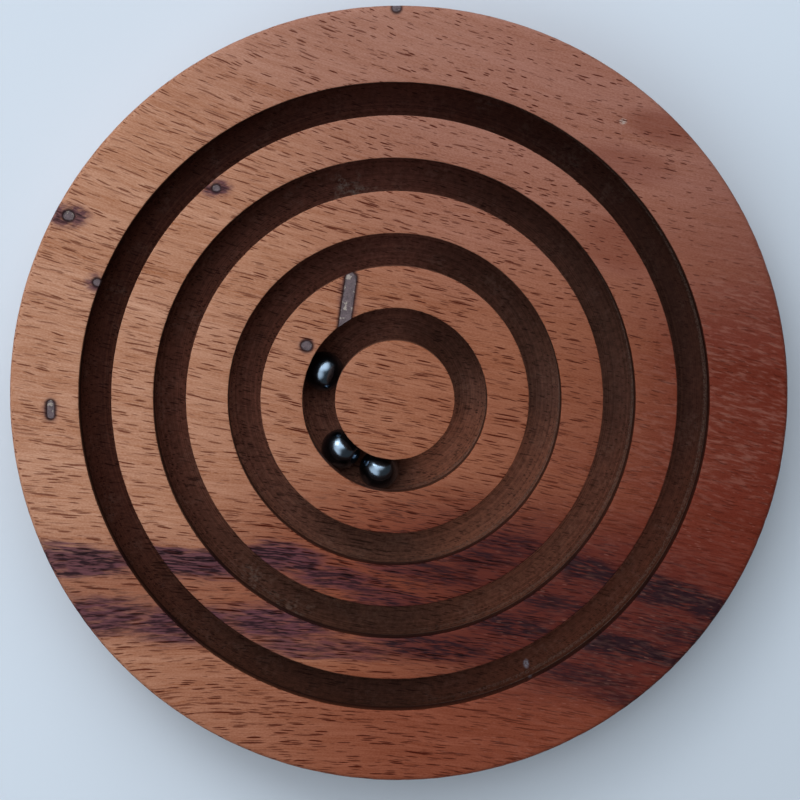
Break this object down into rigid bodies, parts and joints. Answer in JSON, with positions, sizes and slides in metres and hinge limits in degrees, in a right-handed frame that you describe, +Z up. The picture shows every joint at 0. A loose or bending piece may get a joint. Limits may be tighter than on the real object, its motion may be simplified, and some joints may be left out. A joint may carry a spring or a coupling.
{
  "type": "dexterity puzzle",
  "caption": "Round wooden dexterity puzzle with concentric slots over captive round races, hidden gates between them, and loose steel balls to tilt in towards the middle.",
  "frame": {"origin": "middle of the board's underside", "axes": "+Z up out of the slotted face, +Y towards the top of the picture, +X to its right"},
  "size_m": [0.1524, 0.1524, 0.019],
  "materials": {
    "wood_top": "oiled, satin",
    "wood_base": "oiled outside, raw in the races",
    "steel": "dark, polished",
    "filler": "hard grey filling, sanded"
  },
  "bodies": {
    "board": {"base_board": "wood_base", "rim_ring": "wood_top", "outer_ring": "wood_top", "middle_ring": "wood_top", "inner_ring": "wood_top", "centre_disc": "wood_top", "fill_rim_upper": "filler", "fill_rim_slot": "filler", "fill_rim_left": "filler", "fill_rim_edge": "filler", "fill_outer_ring": "filler", "fill_inner_round": "filler", "fill_inner_long": "filler"},
    "first_ball": {"ball_1": "steel"},
    "second_ball": {"ball_2": "steel"},
    "third_ball": {"ball_3": "steel"}
  },
  "joints": [
    {"name": "first_ball_run", "type": "hinge", "parent": "board", "child": "first_ball", "pos_m": [-0.001, -0.0002, 0.01079], "axis": [0, 0, 1], "continuous": true},
    {"name": "second_ball_run", "type": "hinge", "parent": "first_ball", "child": "second_ball", "pos_m": [-0.001, -0.0002, 0.01079], "axis": [0, 0, 1], "range_deg": [-33, 99]},
    {"name": "third_ball_run", "type": "hinge", "parent": "second_ball", "child": "third_ball", "pos_m": [-0.001, -0.0002, 0.01079], "axis": [0, 0, 1], "range_deg": [-2.4, 129]}
  ]
}
